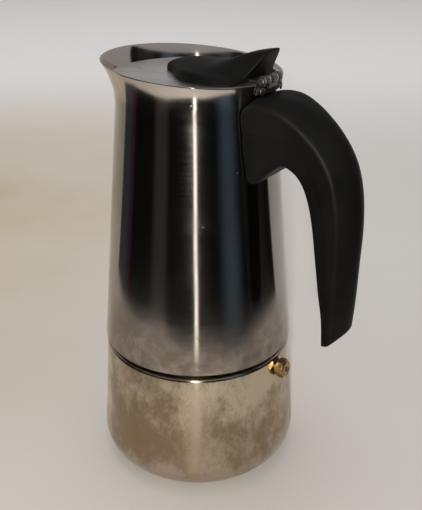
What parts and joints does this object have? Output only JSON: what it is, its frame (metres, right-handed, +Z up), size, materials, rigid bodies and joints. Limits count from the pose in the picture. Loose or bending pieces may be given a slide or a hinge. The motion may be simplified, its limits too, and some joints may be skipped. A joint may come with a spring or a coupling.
{
  "type": "stovetop coffee maker",
  "caption": "Steel stovetop coffee pot with a screwed-on boiler, funnel and filter inside, a slanted flared rim, a hinged lid with a black lever and a black handle.",
  "frame": {"origin": "centre of the round base, on the surface it stands on", "axes": "+Z up along the pot's axis, +X towards the handle and the lid's hinge, -X the pouring side"},
  "size_m": [0.1338, 0.1008, 0.2107],
  "materials": {
    "polished_steel": "mirror polished stainless steel",
    "satin_steel": "dull satin stainless steel with a faint warm heat tint",
    "lid_steel": "matt stainless steel",
    "dark_steel": "dull dark steel",
    "pressed_steel": "pressed sheet steel",
    "brass": "tarnished brass",
    "black_plastic": "satin black plastic",
    "silicone": "off-white silicone rubber"
  },
  "bodies": {
    "boiler": {"boiler_shell": "satin_steel", "valve_body": "brass", "valve_washer": "silicone", "valve_nut": "brass", "valve_spring": "pressed_steel"},
    "valve_pin": {"valve_pin": "dark_steel"},
    "funnel": {"funnel_cup": "pressed_steel", "funnel_tube": "pressed_steel", "funnel_strainer": "pressed_steel"},
    "seal_stack": {"gasket_ring": "silicone", "filter_plate": "pressed_steel"},
    "upper_pot": {"thread_collar": "pressed_steel", "upper_shell": "polished_steel", "pot_floor": "pressed_steel", "riser_column": "pressed_steel", "riser_cap": "pressed_steel", "handle_bracket": "satin_steel", "handle_shell": "black_plastic", "handle_cover": "black_plastic", "handle_screw_upper": "dark_steel", "handle_screw_lower": "dark_steel", "hinge_bracket": "dark_steel", "hinge_rivet_near": "dark_steel", "hinge_rivet_far": "dark_steel", "hinge_pin": "dark_steel"},
    "lid": {"lid_disc": "lid_steel", "hinge_leaf": "dark_steel", "lid_lever": "black_plastic", "lever_screw_front": "pressed_steel", "lever_screw_rear": "pressed_steel"}
  },
  "joints": [
    {"name": "valve_pin_slide", "type": "slide", "parent": "boiler", "child": "valve_pin", "axis": [0.9971, 0.0139, 0.0753], "range_m": [0, 0.0012], "stiffness_N_per_m": 800, "deforming": ["valve_spring"]},
    {"name": "funnel_lift", "type": "slide", "parent": "boiler", "child": "funnel", "axis": [0, 0, 1], "range_m": [0, 0.1]},
    {"name": "seal_rise", "type": "slide", "parent": "funnel", "child": "seal_stack", "axis": [0, 0, 1], "range_m": [0, 0.0045]},
    {"name": "pot_unscrew", "type": "hinge", "parent": "seal_stack", "child": "upper_pot", "pos_m": [0, 0, 0.075], "axis": [0, 0, 1], "range_deg": [0, 450]},
    {"name": "lid_hinge", "type": "hinge", "parent": "upper_pot", "child": "lid", "pos_m": [0.0373, 0, 0.1983], "axis": [0, 1, 0], "range_deg": [0, 80]}
  ],
  "couplings": [
    {"joint": "seal_rise", "follows": "pot_unscrew", "m_per_rad": 0.00047746}
  ]
}
